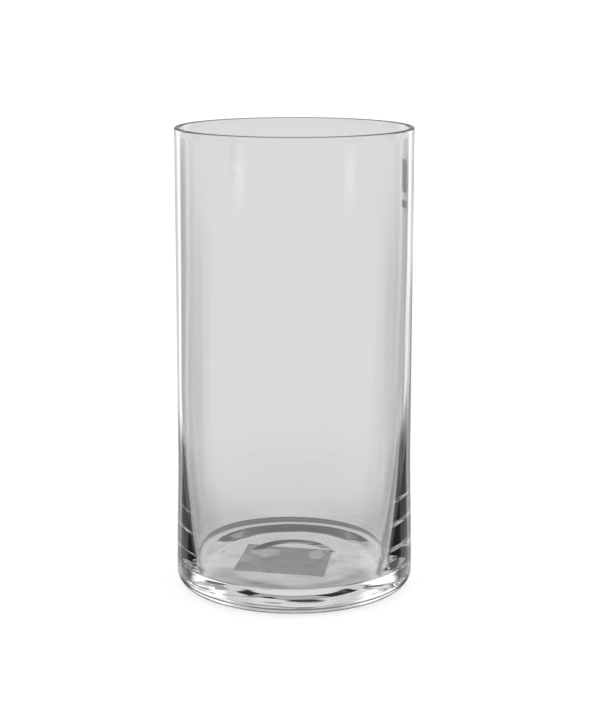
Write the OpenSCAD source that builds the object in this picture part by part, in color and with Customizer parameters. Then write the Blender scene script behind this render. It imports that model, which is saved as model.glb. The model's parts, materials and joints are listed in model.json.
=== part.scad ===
// Glass cylinder vase: a blown clear glass vessel with a thick base and a fire-polished
// rim, a paper label under the base and a clear film label near the rim.
// Millimetres, +Z up, origin at the centre of the resting face.

/* [Vessel] */
// Height from the resting face to the top of the rim
vase_h = 200; // [150:1:260]
// Outer diameter of the straight wall
wall_d = 101.5; // [90:0.5:120]
// Thickness of the straight wall
wall_t = 2.4; // [1.8:0.1:4]
// How far the rim's bead stands out past the outer wall
bead_out = 0.15; // [0:0.05:0.6]
// Radius of the fire-polished edges of the rim
rim_r = 0.7; // [0.4:0.1:0.9]

/* [Thick base] */
// Thickness of the glass at the middle of the base, above the resting face
floor_z = 10.3; // [7:0.1:14]
// Radius of the hollow between the floor and the inner wall
fillet_r = 1; // [1:0.1:8]
// Height where the inner wall starts to thicken towards the base
taper_top = 94; // [70:1:120]
// Extra wall thickness at the top of the fillet
taper_t = 5.8; // [3:0.1:7]
// Height below which the outer wall swells
swell_top = 62; // [40:1:80]
// How far the outer wall swells by the heel
swell_out = 0.95; // [0:0.05:1.5]
// Radius of the rounded heel between the wall and the resting face
heel_r = 6.5; // [4:0.5:8]

/* [Underside] */
// Width of the flat ring that the vase stands on
foot_w = 1.6; // [1:0.1:4]
// Width of the sloping band inside the ring
slope_w = 13.2; // [8:0.1:14]
// How far the sloping band rises from the ring to the ledge
slope_rise = 1.2; // [0.8:0.1:2.5]
// Width of the flat ledge inside the sloping band
ledge_w = 9.5; // [8:0.5:10]
// Width of the soft step between the ledge and the flat middle
step_w = 6; // [3:0.5:6]
// How far the soft step rises from the ledge to the middle
step_rise = 0.45; // [0.1:0.05:0.6]

/* [Base label] */
// Width of the paper label, which is stuck to the ledge and spans the shallow middle
base_label_w = 40; // [38:1:41]
// Length of the paper label
base_label_l = 31; // [20:1:32]
// How far the label was stuck off centre, along X
base_label_x = -4; // [-4:0.5:0]
// How far the label was stuck off centre, along Y
base_label_y = -4; // [-4:0.5:0]
// How far the label was stuck out of square, in degrees
base_label_turn = -10.5; // [-45:0.5:45]

/* [Side label] */
// Width of the clear film label, measured round the wall
side_label_w = 15; // [10:0.5:30]
// Height of the clear film label
side_label_h = 25; // [18:0.5:31]
// Distance from the top of the rim down to the label's upper edge
side_label_drop = 12.5; // [5:0.5:40]
// Direction that the label faces, in degrees from +X towards +Y
side_label_turn = 7.5; // [-180:0.5:180]

/* [Hidden] */

// Steps in the curves: one arc, one slope of the underside, one long sweep of the wall
ARC_STEPS = 10;
SLOPE_STEPS = 12;
SWEEP_STEPS = 16;
$fn = 96;

// Exponent of the inner wall's thickening: above 2 it starts slowly and ends steeply
TAPER_POWER = 2.2;

// Height over which the outer wall swells out to the rim's bead
BEAD_REACH = 2.5;

// Share of the underside's slopes that is rounded off at each end
SLOPE_ROUNDING = 0.15;

// Thickness of the paper, the film and the ink
PAPER_T = 0.15;
FILM_T = 0.08;
INK_T = 0.02;

// Clear film left around the print, height of the printed bar, and the gap above it
PRINT_MARGIN = 2;
PRINT_BAR_H = 3.3;
PRINT_GAP = 3.5;

wall_r = wall_d / 2;
bore_r = wall_r - wall_t;
heel_wall_r = wall_r + swell_out;
foot_out_r = heel_wall_r - heel_r;
foot_in_r = foot_out_r - foot_w;
ledge_r = foot_in_r - slope_w;
step_r = ledge_r - ledge_w;
middle_r = step_r - step_w;
middle_z = slope_rise + step_rise;
rim_z = vase_h - rim_r;
fillet_top = floor_z + fillet_r;
floor_r = inner_r(fillet_top) - fillet_r;
side_label_z = vase_h - side_label_drop - side_label_h;

// Rises from 0 to 1 with level ends as t goes from 0 to 1
function ease(t) = let (u = min(max(t, 0), 1)) u * u * (3 - 2 * u);

// Rises from 0 to 1 in a straight line whose two ends are rounded off level
function slope(t) =
    let (e = SLOPE_ROUNDING, k = 2 * e * (1 - e))
    t < e ? t * t / k : t > 1 - e ? 1 - (1 - t) * (1 - t) / k : (t - e / 2) / (1 - e);

// Radius of the outer wall at height z, from the heel to the rim
function outer_r(z) = wall_r + swell_out * ease((swell_top - z) / (swell_top - heel_r));

// Share of the inner wall's thickening that is reached at height z
function taper(z) = pow(max(taper_top - z, 0) / (taper_top - fillet_top), TAPER_POWER);

// Radius of the inner wall at height z, from the fillet to the rim
function inner_r(z) = outer_r(z) - wall_t - taper_t * taper(z);

// Points of an arc about centre c, from angle a0 to angle a1
function arc(c, r, a0, a1) =
    [for (i = [0 : ARC_STEPS])
        let (a = a0 + (a1 - a0) * i / ARC_STEPS)
        c + r * [cos(a), sin(a)]];

// Heights that divide the way from z0 to z1, without its two ends
function sweep_z(z0, z1) =
    [for (i = [1 : SWEEP_STEPS - 1]) z0 + (z1 - z0) * i / SWEEP_STEPS];

// Points of a slope that falls by drop over width w, outwards from radius r at height z
function slope_down(r, w, z, drop) =
    [for (i = [0 : SLOPE_STEPS])
        let (t = i / SLOPE_STEPS)
        [r + w * t, z - drop * slope(t)]];

// Underside from the axis to the ring: flat middle, soft step, ledge, sloping band
function underside() = concat(
    [[0, middle_z]],
    slope_down(middle_r, step_w, middle_z, step_rise),
    slope_down(ledge_r, slope_w, slope_rise, slope_rise));

// Heel and outer wall, from the resting ring up to where the bead starts
function outside() = concat(
    arc([foot_out_r, heel_r], heel_r, -90, 0),
    [for (z = sweep_z(heel_r, swell_top)) [outer_r(z), z]],
    [[wall_r, swell_top], [wall_r, rim_z - BEAD_REACH]]);

// Rim's flat top between its two rounded edges, flush with the inner wall
function rim() = concat(
    arc([wall_r + bead_out - rim_r, rim_z], rim_r, 0, 90),
    arc([bore_r + rim_r, rim_z], rim_r, 90, 180));

// Inner wall, fillet and floor, from the rim down to the axis
function inside() = concat(
    [for (z = concat([taper_top], sweep_z(taper_top, fillet_top))) [inner_r(z), z]],
    arc([floor_r, fillet_top], fillet_r, 0, -90),
    [[0, floor_z]]);

// Piece of a thin cylindrical shell on the outer wall, centred on the side label
module wall_patch(r, t, w, h, z) {
    span = w / r * 180 / PI;
    rotate([0, 0, side_label_turn - span / 2])
        translate([0, 0, z])
            rotate_extrude(angle = span)
                translate([r, 0])
                    square([t, h]);
}

module glass_vessel() {
    color([0.86, 0.88, 0.88, 0.45])
        rotate_extrude()
            polygon(concat(underside(), outside(), rim(), inside()));
}

module base_label() {
    color("white")
        translate([base_label_x, base_label_y, slope_rise - PAPER_T])
            rotate([0, 0, base_label_turn])
                translate([-base_label_w / 2, -base_label_l / 2, 0])
                    cube([base_label_w, base_label_l, PAPER_T]);
}

module side_label() {
    color([0.95, 0.95, 0.95, 0.5])
        wall_patch(wall_r, FILM_T, side_label_w, side_label_h, side_label_z);
}

// A plain panel over a plain bar, printed on the film's outer face
module side_label_print() {
    print_w = side_label_w - 2 * PRINT_MARGIN;
    bar_z = side_label_z + PRINT_MARGIN;
    panel_z = bar_z + PRINT_BAR_H + PRINT_GAP;
    panel_h = side_label_z + side_label_h - PRINT_MARGIN - panel_z;
    color([0.2, 0.2, 0.2]) {
        wall_patch(wall_r + FILM_T, INK_T, print_w, PRINT_BAR_H, bar_z);
        wall_patch(wall_r + FILM_T, INK_T, print_w, panel_h, panel_z);
    }
}

glass_vessel();
base_label();
side_label();
side_label_print();
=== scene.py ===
"""Looks of the glass cylinder vase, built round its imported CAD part.

Four pieces, all fixed to the one CAD body: the glass vessel, a paper label under the base, and a
clear film label near the rim with its ink print. Lengths are millimetres until mm() turns them
into metres. +Z is up, and the camera stands on the -Y side.
"""

import functools
import json
import math

import bmesh
import bpy
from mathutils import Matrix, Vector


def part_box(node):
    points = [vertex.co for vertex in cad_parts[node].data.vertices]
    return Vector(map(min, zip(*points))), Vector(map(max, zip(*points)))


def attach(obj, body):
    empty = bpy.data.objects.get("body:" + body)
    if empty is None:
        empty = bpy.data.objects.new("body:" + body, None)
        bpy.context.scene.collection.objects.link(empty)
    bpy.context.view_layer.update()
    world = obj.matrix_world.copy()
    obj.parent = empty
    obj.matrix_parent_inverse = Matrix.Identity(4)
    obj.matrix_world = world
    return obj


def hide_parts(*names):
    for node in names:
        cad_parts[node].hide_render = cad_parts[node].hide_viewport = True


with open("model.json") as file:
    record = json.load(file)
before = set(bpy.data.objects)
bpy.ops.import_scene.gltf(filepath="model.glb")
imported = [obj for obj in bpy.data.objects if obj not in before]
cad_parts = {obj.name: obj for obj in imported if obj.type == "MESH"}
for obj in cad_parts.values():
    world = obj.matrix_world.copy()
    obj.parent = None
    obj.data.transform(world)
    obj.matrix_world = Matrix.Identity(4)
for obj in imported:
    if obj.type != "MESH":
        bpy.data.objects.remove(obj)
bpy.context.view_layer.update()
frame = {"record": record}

# The vessel's measures, in millimetres, as the CAD part has them
WALL_T = 2.4
FLOOR_Z = 10.3
FILLET_R = 1
TAPER_T = 5.8
TAPER_POWER = 2.2
SWELL_TOP = 62
SWELL_OUT = 0.95
HEEL_R = 6.5
FOOT_W = 1.6
SLOPE_W = 13.2
SLOPE_RISE = 1.2
LEDGE_W = 9.5
STEP_W = 6
STEP_RISE = 0.45
SLOPE_ROUNDING = 0.15
BEAD_OUT = 0.15
BEAD_REACH = 2.5
RIM_R = 0.7

# How far the blown cavity sits off the axis low down, towards -X, and the heights between which
# it bends that way
LEAN = 0.9
LEAN_TOP = 150
LEAN_BOTTOM = 60

# Steps round the vessel, and along each stretch of its outline
TURN_STEPS = 360
ARC_STEPS = 18
SLOPE_STEPS = 24
FLAT_STEPS = 24
WALL_STEPS = 48

# Outline points nearer than this, in millimetres, are the same point
SAME_POINT = 1e-6

# How far inside the true circle the outside is kept, and the glass's faint ripples: how far
# each surface wanders, and how far up from the base the stronger ones reach
OUTSIDE_INSET = 0.03
OUTER_RIPPLE = 0.02
INNER_RIPPLE = 0.03
FLOOR_RIPPLE = 0.06
UNDER_RIPPLE = 0.09
RIPPLE_REACH = 45

# The paper label: its size and turn, how far its cockles hang from the glass, its corners, and
# the width of the cells that it is cut into, in millimetres and degrees
BASE_LABEL = (40, 31)
BASE_LABEL_TURN = -10.5
PAPER_T = 0.12
PAPER_COCKLE = 0.02
PAPER_CORNER = 0.8
PAPER_CELL = 1.0

# The film label and its print, in the same way
SIDE_LABEL_W = 15
SIDE_LABEL_TURN = 7.5
FILM_T = 0.08
FILM_CORNER = 2
FILM_CELL = 0.5
INK_T = 0.02
INK_CORNER = 0.5
PRINT_MARGIN = 2
PRINT_BAR_H = 3.3
PRINT_GAP = 3.5

# Steps along a label's rounded corner, and the angle in degrees past which its edge is sharp
CORNER_STEPS = 6
SHARP_ANGLE = 40


def mm(length):
    return length / 1000


def mount(name):
    """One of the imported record's mounts."""
    return next(m for m in frame["record"]["mounts"] if m["name"] == name)


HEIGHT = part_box("glass_vessel")[1].z * 1000
BORE_R = mount("mouth")["dims"]["r_mm"]
RIM_Z = HEIGHT - RIM_R
TAPER_TOP = RIM_Z - mount("mouth")["dims"]["length_mm"]
WALL_R = BORE_R + WALL_T
BEAD_Z = RIM_Z - BEAD_REACH
FILLET_TOP = FLOOR_Z + FILLET_R
FOOT_OUT_R = WALL_R + SWELL_OUT - HEEL_R
FOOT_IN_R = FOOT_OUT_R - FOOT_W
LEDGE_R = FOOT_IN_R - SLOPE_W
STEP_R = LEDGE_R - LEDGE_W
MIDDLE_R = STEP_R - STEP_W
MIDDLE_Z = SLOPE_RISE + STEP_RISE


# ---------------------------------------------------------------- outline of the vessel


def ease(t):
    t = min(max(t, 0), 1)
    return t * t * (3 - 2 * t)


def slope(t):
    """Rises from 0 to 1 in a straight line whose two ends are rounded off level."""
    e = SLOPE_ROUNDING
    k = 2 * e * (1 - e)
    if t < e:
        return t * t / k
    if t > 1 - e:
        return 1 - (1 - t) ** 2 / k
    return (t - e / 2) / (1 - e)


def outer_r(z):
    return WALL_R + SWELL_OUT * ease((SWELL_TOP - z) / (SWELL_TOP - HEEL_R))


def bead_r(z):
    """Radius of the outer wall where it swells out to the rim's bead."""
    return WALL_R + BEAD_OUT * ease((z - BEAD_Z) / BEAD_REACH)


def inner_r(z):
    share = max(TAPER_TOP - z, 0) / (TAPER_TOP - FILLET_TOP)
    return outer_r(z) - WALL_T - TAPER_T * share**TAPER_POWER


def steps(count):
    return [i / count for i in range(count + 1)]


def line(start, end, count):
    (r0, z0), (r1, z1) = start, end
    return [(r0 + (r1 - r0) * t, z0 + (z1 - z0) * t) for t in steps(count)]


def arc(centre, radius, a0, a1):
    r, z = centre
    turns = [math.radians(a0 + (a1 - a0) * t) for t in steps(ARC_STEPS)]
    return [(r + radius * math.cos(a), z + radius * math.sin(a)) for a in turns]


def slope_down(r, width, z, drop):
    return [(r + width * t, z - drop * slope(t)) for t in steps(SLOPE_STEPS)]


def wall(radius_at, z0, z1):
    heights = [z0 + (z1 - z0) * t for t in steps(WALL_STEPS)]
    return [(radius_at(z), z) for z in heights]


def joined(parts):
    """The parts' points in one list, without doubled points where two parts meet."""
    points = [parts[0][0]]
    for part in parts:
        points += [p for p in part if math.dist(p, points[-1]) > SAME_POINT]
    return points


def outside_line():
    """Points (radius, height) from the underside's middle, up the outside, to the rim's top."""
    return joined([
        line((0, MIDDLE_Z), (MIDDLE_R, MIDDLE_Z), FLAT_STEPS),
        slope_down(MIDDLE_R, STEP_W, MIDDLE_Z, STEP_RISE),
        line((STEP_R, SLOPE_RISE), (LEDGE_R, SLOPE_RISE), FLAT_STEPS),
        slope_down(LEDGE_R, SLOPE_W, SLOPE_RISE, SLOPE_RISE),
        arc((FOOT_OUT_R, HEEL_R), HEEL_R, -90, 0),
        wall(outer_r, HEEL_R, SWELL_TOP),
        wall(outer_r, SWELL_TOP, BEAD_Z),
        wall(bead_r, BEAD_Z, RIM_Z),
        arc((WALL_R + BEAD_OUT - RIM_R, RIM_Z), RIM_R, 0, 90),
    ])


def inside_line():
    """Points (radius, height) from the rim's top, down the inside, to the floor's middle."""
    floor_r = inner_r(FILLET_TOP) - FILLET_R
    return joined([
        line((WALL_R + BEAD_OUT - RIM_R, HEIGHT), (BORE_R + RIM_R, HEIGHT), FLAT_STEPS),
        arc((BORE_R + RIM_R, RIM_Z), RIM_R, 90, 180),
        wall(inner_r, RIM_Z, TAPER_TOP),
        wall(inner_r, TAPER_TOP, FILLET_TOP),
        arc((floor_r, FILLET_TOP), FILLET_R, 0, -90),
        line((floor_r, FLOOR_Z), (0, FLOOR_Z), FLAT_STEPS),
    ])


def lean(z):
    return -LEAN * ease((LEAN_TOP - z) / (LEAN_TOP - LEAN_BOTTOM))


# ---------------------------------------------------------------- meshes


def new_object(name, bm):
    bmesh.ops.recalc_face_normals(bm, faces=bm.faces)
    data = bpy.data.meshes.new(name)
    bm.to_mesh(data)
    bm.free()
    data.shade_smooth()
    made = bpy.data.objects.new(name, data)
    bpy.context.scene.collection.objects.link(made)
    return made


def wall_wave(a, z, phase):
    """A smooth uneven wave, between -1 and 1, round the axis and up the wall."""
    return (
        math.sin(3 * a + z / 9 + phase)
        + math.sin(5 * a - z / 6 + 2.1 * phase)
        + math.sin(8 * a + z / 15 + 3.7 * phase)
    ) / 3


def flat_wave(x, y, phase):
    """A smooth uneven wave, between -1 and 1, over the floor or the underside: three slow
    swells, and two finer ripples that wind across each other."""
    return (
        math.sin(x / 3.1 + y / 7.9 + phase)
        + math.sin(y / 2.6 - x / 9.2 + 2.3 * phase)
        + math.sin((x + y) / 4.4 + 3.1 * phase)
        + 0.3 * math.sin(x / 1.3 + math.sin(y / 3) + 1.7 * phase)
        + 0.3 * math.sin(y / 1.1 + math.sin(x / 4) + 0.6 * phase)
    ) / 3.6


def low_down(z):
    """1 at the base, falling to a third up the wall, where the glass is thin and even."""
    return 0.33 + 0.67 * ease((RIPPLE_REACH - z) / RIPPLE_REACH)


def outside_point(r, z, a):
    """A point of the outside. Its wall stays inside the true shape; its underside ripples."""
    if r < FOOT_IN_R:
        share = ease((FOOT_IN_R - r) / SLOPE_W)
        return r, z + UNDER_RIPPLE * share * flat_wave(r * math.cos(a), r * math.sin(a), 1.3)
    lift = ease(z / HEEL_R)
    inset = OUTSIDE_INSET + OUTER_RIPPLE * low_down(z) * lift * (1 + wall_wave(a, z, 0.4))
    return r - inset, z


def inside_point(r, z, a):
    """A point of the cavity: its wall ripples in and out, and its floor up and down."""
    if z > FILLET_TOP:
        return r + INNER_RIPPLE * low_down(z) * wall_wave(a, z, 2.6), z
    share = ease((FILLET_TOP - z) / FILLET_R)
    return r, z + FLOOR_RIPPLE * share * flat_wave(r * math.cos(a), r * math.sin(a), 4.2)


def make_vessel():
    """The outline turned round the axis, closed at the axis by fans."""
    outside = [(r, z, outside_point, 0) for r, z in outside_line()]
    inside = [(r, z, inside_point, lean(z)) for r, z in inside_line()]
    points = outside + inside[1:]
    bm = bmesh.new()
    bottom = bm.verts.new((0, 0, mm(outside_point(0, MIDDLE_Z, 0)[1])))
    top = bm.verts.new((mm(lean(FLOOR_Z)), 0, mm(inside_point(0, FLOOR_Z, 0)[1])))
    rings = []
    for r, z, rippled, shift in points[1:-1]:
        ring = []
        for i in range(TURN_STEPS):
            a = 2 * math.pi * i / TURN_STEPS
            r_here, z_here = rippled(r, z, a)
            x, y = r_here * math.cos(a) + shift, r_here * math.sin(a)
            ring.append(bm.verts.new((mm(x), mm(y), mm(z_here))))
        rings.append(ring)
    for i in range(TURN_STEPS):
        j = (i + 1) % TURN_STEPS
        bm.faces.new((bottom, rings[0][j], rings[0][i]))
        bm.faces.new((top, rings[-1][i], rings[-1][j]))
        for a, b in zip(rings, rings[1:]):
            bm.faces.new((a[i], a[j], b[j], b[i]))
    return new_object("glass_vessel_clear", bm)


def rounded_rectangle(x0, y0, x1, y1, radius):
    """Corner points of a rectangle whose corners are quarter circles."""
    corners = (
        (x1 - radius, y0 + radius, -90),
        (x1 - radius, y1 - radius, 0),
        (x0 + radius, y1 - radius, 90),
        (x0 + radius, y0 + radius, 180),
    )
    points = []
    for x, y, turn in corners:
        for t in steps(CORNER_STEPS):
            a = math.radians(turn + 90 * t)
            points.append((x + radius * math.cos(a), y + radius * math.sin(a)))
    return points


def flat_sheet(outlines, thickness, cell):
    """Sheets of even thickness over flat outlines, cut into cells so that they can bend."""
    bm = bmesh.new()
    for outline in outlines:
        bm.faces.new([bm.verts.new((x, y, 0)) for x, y in outline])
    for axis in ((1, 0, 0), (0, 1, 0)):
        along = [v.co.x * axis[0] + v.co.y * axis[1] for v in bm.verts]
        at = min(along) + cell
        while at < max(along) - cell / 2:
            bmesh.ops.bisect_plane(
                bm,
                geom=bm.verts[:] + bm.edges[:] + bm.faces[:],
                plane_co=(axis[0] * at, axis[1] * at, 0),
                plane_no=axis,
            )
            at += cell
    bmesh.ops.triangulate(bm, faces=[f for f in bm.faces if len(f.verts) > 4])
    bmesh.ops.recalc_face_normals(bm, faces=bm.faces)
    grown = bmesh.ops.extrude_face_region(bm, geom=bm.faces[:], use_keep_orig=True)
    for v in [g for g in grown["geom"] if isinstance(g, bmesh.types.BMVert)]:
        v.co.z = thickness
    return bm


def sharp_sheet(name, bm):
    """A thin sheet's object, smooth on its two sides and sharp along its cut edge."""
    made = new_object(name, bm)
    made.data.set_sharp_from_angle(angle=math.radians(SHARP_ANGLE))
    return made


def make_base_label():
    """Paper stuck to the underside, slightly cockled, with its own axes along its edges."""
    low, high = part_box("base_label")
    centre = (low + high) / 2
    w, l = BASE_LABEL
    outline = rounded_rectangle(-w / 2, -l / 2, w / 2, l / 2, PAPER_CORNER)
    bm = flat_sheet([outline], PAPER_T, PAPER_CELL)
    for v in bm.verts:
        cockle = math.sin(v.co.x / 2.7 + v.co.y / 4.1) * math.sin(v.co.y / 3.3 - v.co.x / 7)
        v.co.z -= PAPER_COCKLE / 2 * (1 + cockle)
        v.co = v.co / 1000
    made = sharp_sheet("base_label_paper", bm)
    made.location = (centre.x, centre.y, high.z - mm(PAPER_T))
    made.rotation_euler = (0, 0, math.radians(BASE_LABEL_TURN))
    return made


def wrapped_sheet(name, outlines, r, thickness):
    """A thin sheet bent round the wall, from outlines drawn round the wall and upwards."""
    bm = flat_sheet(outlines, thickness, FILM_CELL)
    for v in bm.verts:
        a = math.radians(SIDE_LABEL_TURN) + v.co.x / r
        here = r + v.co.z
        v.co = (mm(here * math.cos(a)), mm(here * math.sin(a)), mm(v.co.y))
    return sharp_sheet(name, bm)


def make_side_film():
    low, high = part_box("side_label")
    half = SIDE_LABEL_W / 2
    outline = rounded_rectangle(-half, low.z * 1000, half, high.z * 1000, FILM_CORNER)
    return wrapped_sheet("side_label_film", [outline], WALL_R, FILM_T)


def make_side_ink():
    """A plain panel over a plain bar."""
    low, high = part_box("side_label_print")
    half = SIDE_LABEL_W / 2 - PRINT_MARGIN
    bar_z = low.z * 1000
    bar_top = bar_z + PRINT_BAR_H
    outlines = [
        rounded_rectangle(-half, bar_z, half, bar_top, INK_CORNER),
        rounded_rectangle(-half, bar_top + PRINT_GAP, half, high.z * 1000, INK_CORNER),
    ]
    return wrapped_sheet("side_label_ink", outlines, WALL_R + FILM_T, INK_T)


# ---------------------------------------------------------------- materials


# The glass: its refraction, the height of its bump in metres, how much stronger than its slow
# waves the streaks in its base are, the height in millimetres where they end, and over how much
# they fade
GLASS_IOR = 1.52
GLASS_BUMP = 0.000008
STREAK_SHARE = 6
STREAK_TOP = 12
STREAK_FADE = 1.2

# The paper: its greys, which are painted shade for the shade it lies in under the glass as well
# as the darker look of glued paper, its white in the pale patches, its bump in metres, and the
# pale
# patches: centre x and y, and reach along x and y, in millimetres
# Painted shade: these greys darken the white paper for the shade under the glass, and for glue
GLUED_PAPER_AND_SHADE = (0.54, 0.54, 0.53)
GLUED_PAPER_AND_SHADE_PALER = (0.66, 0.66, 0.65)
PALE_OVAL_PAPER = (1.0, 1.0, 0.98)
PAPER_BUMP = 0.00004
PALE_OVALS = [(-9.6, 6.5, 6.5, 5.5), (13.6, 9.5, 3.6, 5)]

# The film: how much of it covers what is behind it, and its bump in metres
FILM_ALPHA = 0.08
FILM_BUMP = 0.00002

# The ink's greys
INK_DARK = (0.035, 0.035, 0.035)
INK_LIGHT = (0.09, 0.09, 0.09)

# How many of each pattern's cells fit in a metre
WAVES = 30
STREAKS = 110
FIBRES = 900
MOTTLE = 150
RUBS = 500
INK_COVER = 700

# The colour sockets of a Mix node, which share their names with its other sockets
COLOUR_A = 6
COLOUR_B = 7
COLOUR_OUT = 2


def new_material(name):
    material = bpy.data.materials.new(name)
    material.use_nodes = True
    return material, material.node_tree, material.node_tree.nodes["Principled BSDF"]


def put(tree, socket, value):
    """Sets a socket to a plain value, or links another node's output to it."""
    if isinstance(value, bpy.types.NodeSocket):
        tree.links.new(value, socket)
    else:
        socket.default_value = value


def math_node(tree, operation, *values):
    node = tree.nodes.new("ShaderNodeMath")
    node.operation = operation
    for socket, value in zip(node.inputs, values):
        put(tree, socket, value)
    return node.outputs[0]


def mixed(tree, factor, a, b):
    node = tree.nodes.new("ShaderNodeMix")
    put(tree, node.inputs["Factor"], factor)
    put(tree, node.inputs["A"], a)
    put(tree, node.inputs["B"], b)
    return node.outputs["Result"]


def mixed_colour(tree, factor, a, b):
    node = tree.nodes.new("ShaderNodeMix")
    node.data_type = "RGBA"
    put(tree, node.inputs["Factor"], factor)
    put(tree, node.inputs[COLOUR_A], a)
    put(tree, node.inputs[COLOUR_B], b)
    return node.outputs[COLOUR_OUT]


def position(tree, kind="Object"):
    """The x, y and z of the piece's own coordinates, or of another kind."""
    coordinates = tree.nodes.new("ShaderNodeTexCoord")
    split = tree.nodes.new("ShaderNodeSeparateXYZ")
    tree.links.new(coordinates.outputs[kind], split.inputs[0])
    return list(split.outputs)


def new_noise(tree, scale, detail, stretch=(1, 1, 1)):
    """Noise over the piece's own coordinates, in metres. A stretch below 1 draws it out."""
    coordinates = tree.nodes.new("ShaderNodeTexCoord")
    mapping = tree.nodes.new("ShaderNodeMapping")
    mapping.inputs["Scale"].default_value = stretch
    noise = tree.nodes.new("ShaderNodeTexNoise")
    noise.inputs["Scale"].default_value = scale
    noise.inputs["Detail"].default_value = detail
    tree.links.new(coordinates.outputs["Object"], mapping.inputs["Vector"])
    tree.links.new(mapping.outputs["Vector"], noise.inputs["Vector"])
    return noise.outputs["Fac"]


def bump(tree, shader, height, distance):
    node = tree.nodes.new("ShaderNodeBump")
    node.inputs["Distance"].default_value = distance
    tree.links.new(height, node.inputs["Height"])
    tree.links.new(node.outputs["Normal"], shader.inputs["Normal"])


def shades(tree, factor, dark, light):
    return mixed_colour(tree, factor, (*dark, 1), (*light, 1))


def stretched(tree, value, start, end, low, high):
    """Value from start to end, as low to high, held at both ends."""
    node = tree.nodes.new("ShaderNodeMapRange")
    tree.links.new(value, node.inputs["Value"])
    node.inputs["From Min"].default_value = start
    node.inputs["From Max"].default_value = end
    node.inputs["To Min"].default_value = low
    node.inputs["To Max"].default_value = high
    return node.outputs["Result"]


def glass_material():
    """Clear glass: slow waves all over, and fine drawn-out streaks in the base."""
    material, tree, shader = new_material("clear_glass")
    shader.inputs["Base Color"].default_value = (1, 1, 1, 1)
    shader.inputs["Roughness"].default_value = 0
    shader.inputs["IOR"].default_value = GLASS_IOR
    shader.inputs["Transmission Weight"].default_value = 1
    z = position(tree)[2]
    in_base = stretched(tree, z, mm(STREAK_TOP - STREAK_FADE), mm(STREAK_TOP), 1, 0)
    waves = new_noise(tree, WAVES, 1, (1, 1, 0.4))
    streaks = new_noise(tree, STREAKS, 1, (0.5, 1.4, 1))
    streaks = math_node(tree, "MULTIPLY", streaks, in_base)
    height = math_node(tree, "ADD", waves, math_node(tree, "MULTIPLY", streaks, STREAK_SHARE))
    bump(tree, shader, height, GLASS_BUMP)
    return material


def paper_material():
    """White paper: fibres, a mottle of glue, and two pale patches. Outside the patches its grey
    is painted shade as well as the darker look of glued paper.
    """
    material, tree, shader = new_material("label_paper")
    fibres = new_noise(tree, FIBRES, 4, (1, 0.3, 1))
    mottle = new_noise(tree, MOTTLE, 3)
    level = stretched(tree, math_node(tree, "ADD", fibres, mottle), 0.7, 1.3, 0, 1)
    # Painted shade: the paper outside the pale patches is greyed for the shade under the glass
    glued_and_shaded = shades(tree, level, GLUED_PAPER_AND_SHADE, GLUED_PAPER_AND_SHADE_PALER)
    patches = [pale_oval(tree, mottle, *patch) for patch in PALE_OVALS]
    in_pale_ovals = functools.reduce(lambda a, b: math_node(tree, "MAXIMUM", a, b), patches)
    colour = mixed_colour(tree, in_pale_ovals, glued_and_shaded, (*PALE_OVAL_PAPER, 1))
    tree.links.new(colour, shader.inputs["Base Color"])
    shader.inputs["Roughness"].default_value = 0.85
    bump(tree, shader, fibres, PAPER_BUMP)
    return material


def pale_oval(tree, mottle, x, y, reach_x, reach_y):
    """1 inside an uneven oval on the label, in millimetres, and 0 outside it."""
    total = math_node(tree, "MULTIPLY", math_node(tree, "SUBTRACT", mottle, 0.5), 4)
    here_x, here_y, _ = position(tree)
    for here, at, reach in ((here_x, x, reach_x), (here_y, y, reach_y)):
        away = math_node(tree, "DIVIDE", math_node(tree, "SUBTRACT", here, mm(at)), mm(reach))
        total = math_node(tree, "ADD", total, math_node(tree, "MULTIPLY", away, away))
    return stretched(tree, total, 0.7, 1.1, 1, 0)


def film_material():
    """Clear glossy film with faint rubs."""
    material, tree, shader = new_material("label_film")
    shader.inputs["Base Color"].default_value = (0.9, 0.9, 0.9, 1)
    rubs = new_noise(tree, RUBS, 3, (1, 1, 0.2))
    tree.links.new(stretched(tree, rubs, 0.4, 0.7, 0.1, 0.3), shader.inputs["Roughness"])
    shader.inputs["Alpha"].default_value = FILM_ALPHA
    bump(tree, shader, rubs, FILM_BUMP)
    return material


def ink_material():
    """Dark grey ink that is thinner in places."""
    material, tree, shader = new_material("label_ink")
    cover = new_noise(tree, INK_COVER, 4)
    grey = shades(tree, stretched(tree, cover, 0.35, 0.7, 0, 1), INK_DARK, INK_LIGHT)
    tree.links.new(grey, shader.inputs["Base Color"])
    tree.links.new(stretched(tree, cover, 0.3, 0.7, 0.45, 0.6), shader.inputs["Roughness"])
    return material


# ---------------------------------------------------------------- studio

# Levels of the backdrop that the camera sees, of the even surround that light scattered by
# paper, film or ink meets, and of the studio that shows in the glass where no panel is
BACKDROP_LEVEL = 1.1
CALM_LEVEL = 1.5
BASE_LEVEL = 0.62

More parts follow.
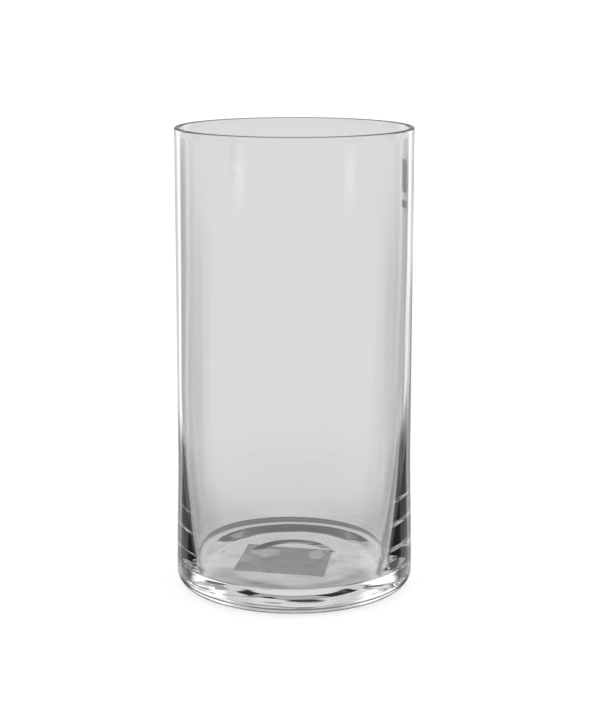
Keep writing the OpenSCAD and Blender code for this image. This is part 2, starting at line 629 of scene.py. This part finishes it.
# Soft panels that show in the glass: level, azimuth from and to on both sides, elevation from
# and to, and half the width of its soft edge, in degrees. Azimuth 0 is straight behind the
# object, and 180 behind the camera. An end of -99, of 999 in azimuth or of 99 in elevation
# leaves that side open. Each panel is painted over those before it.
PANELS = [
    (0.72, -99, 17, -22, 3, 7),
    (0.44, -99, 20, -99, -25.5, 4),
    (0.17, -99, 20, -99, -32, 4),
    (0.12, 22, 39, -99, -19, 2),
    (0.38, 130, 999, -99, -22, 6),
    (0.22, 38, 128, -99, -41, 3),
    (0.72, -99, 999, -99, -56, 4),
    (0.14, 52, 80, -25, -8, 2.5),
    (1.20, 23, 49, -5, 26, 4),
    (0.22, 35, 50, -16, -5, 2),
    (1.15, 25, 34, -17, -3, 2),
    (0.62, 13, 23, -18, -2, 2),
    (0.25, -99, 17, 5, 25, 3),
    (0.10, 52, 80, 3, 26, 3),
    (0.40, 68, 135, 8, 46, 4),
    (0.40, 135, 999, 3, 46, 4),
    (0.14, 100, 128, -1, 46, 3),
    (0.40, -99, 60, 25, 46, 4),
    (0.10, -99, 999, 46, 99, 4),
    (1.45, 120, 127, -6.9, -5.7, 1),
]

# The floor's radius in metres, its grey, and the light it gives so that it meets the backdrop
FLOOR_RADIUS = 6
FLOOR_GREY = (0.45, 0.45, 0.45, 1)
FLOOR_GLOW = 0.6

# The camera's place in metres, how far down it looks in degrees, and its sensor and lens in
# millimetres, all worked out from the ellipses of the photograph's rim and base
CAMERA_PLACE = (0.0003, -0.794, 0.267)
CAMERA_DOWN = 11.84
SENSOR_W = 36
LENS = 94.44

# Most bounces of a light path. More of them make the dark bands at the glass's sides noisy.
BOUNCES = 8


def edge(tree, value, at, soft):
    """0 below at, 1 above it, over a soft band."""
    node = tree.nodes.new("ShaderNodeMapRange")
    node.interpolation_type = "SMOOTHSTEP"
    tree.links.new(value, node.inputs["Value"])
    node.inputs["From Min"].default_value = at - soft
    node.inputs["From Max"].default_value = at + soft
    return node.outputs["Result"]


def window(tree, value, start, end, soft):
    return math_node(
        tree, "SUBTRACT", edge(tree, value, start, soft), edge(tree, value, end, soft)
    )


def studio_level(tree):
    x, y, z = position(tree, "Generated")
    turn = math_node(tree, "ARCTAN2", x, y)
    azimuth = math_node(tree, "ABSOLUTE", math_node(tree, "DEGREES", turn))
    elevation = math_node(tree, "DEGREES", math_node(tree, "ARCSINE", z))
    level = BASE_LEVEL
    for panel, az0, az1, el0, el1, soft in PANELS:
        across = window(tree, azimuth, az0, az1, soft)
        upright = window(tree, elevation, el0, el1, soft)
        level = mixed(tree, math_node(tree, "MULTIPLY", across, upright), level, panel)
    return level


def make_world():
    """A plain backdrop for the camera, and the studio for what the glass bends and reflects."""
    world = bpy.data.worlds.new("studio")
    bpy.context.scene.world = world
    world.use_nodes = True
    tree = world.node_tree
    backdrop = tree.nodes["Background"]
    backdrop.inputs["Color"].default_value = (1, 1, 1, 1)
    backdrop.inputs["Strength"].default_value = BACKDROP_LEVEL
    studio = tree.nodes.new("ShaderNodeBackground")
    studio.inputs["Color"].default_value = (1, 1, 1, 1)
    path = tree.nodes.new("ShaderNodeLightPath").outputs
    scattered = math_node(tree, "GREATER_THAN", path["Diffuse Depth"], 0.5)
    level = mixed(tree, scattered, studio_level(tree), CALM_LEVEL)
    tree.links.new(level, studio.inputs["Strength"])
    bent = math_node(tree, "MAXIMUM", path["Is Transmission Ray"], path["Is Glossy Ray"])
    mix = tree.nodes.new("ShaderNodeMixShader")
    for output, socket in zip((bent, backdrop.outputs[0], studio.outputs[0]), mix.inputs):
        tree.links.new(output, socket)
    tree.links.new(mix.outputs[0], tree.nodes["World Output"].inputs[0])


def make_floor():
    """A wide pale disc that the glass itself doesn't show."""
    bm = bmesh.new()
    bmesh.ops.create_circle(bm, cap_ends=True, segments=96, radius=FLOOR_RADIUS)
    floor = new_object("floor", bm)
    material, tree, shader = new_material("pale_floor")
    shader.inputs["Base Color"].default_value = FLOOR_GREY
    shader.inputs["Emission Color"].default_value = (1, 1, 1, 1)
    shader.inputs["Emission Strength"].default_value = FLOOR_GLOW
    shader.inputs["Roughness"].default_value = 1
    shader.inputs["Specular IOR Level"].default_value = 0
    floor.data.materials.append(material)
    floor.visible_transmission = False
    floor.visible_glossy = False


def make_camera():
    data = bpy.data.cameras.new("camera")
    camera = bpy.data.objects.new("camera", data)
    bpy.context.scene.collection.objects.link(camera)
    camera.location = CAMERA_PLACE
    camera.rotation_euler = (math.radians(90 - CAMERA_DOWN), 0, 0)
    data.sensor_width = SENSOR_W
    data.lens = LENS
    bpy.context.scene.camera = camera


def fix(piece, material, node):
    """Gives a piece its material, ties it to the CAD part's body, and hides the CAD part's node.
    """
    piece.data.materials.append(material)
    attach(piece, "root")
    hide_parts(node)


fix(make_vessel(), glass_material(), "glass_vessel")
fix(make_base_label(), paper_material(), "base_label")
fix(make_side_film(), film_material(), "side_label")
fix(make_side_ink(), ink_material(), "side_label_print")
make_floor()
make_world()
make_camera()

scene = bpy.context.scene
scene.view_settings.view_transform = "Standard"
scene.cycles.max_bounces = BOUNCES
scene.cycles.transmission_bounces = BOUNCES
scene.cycles.glossy_bounces = BOUNCES
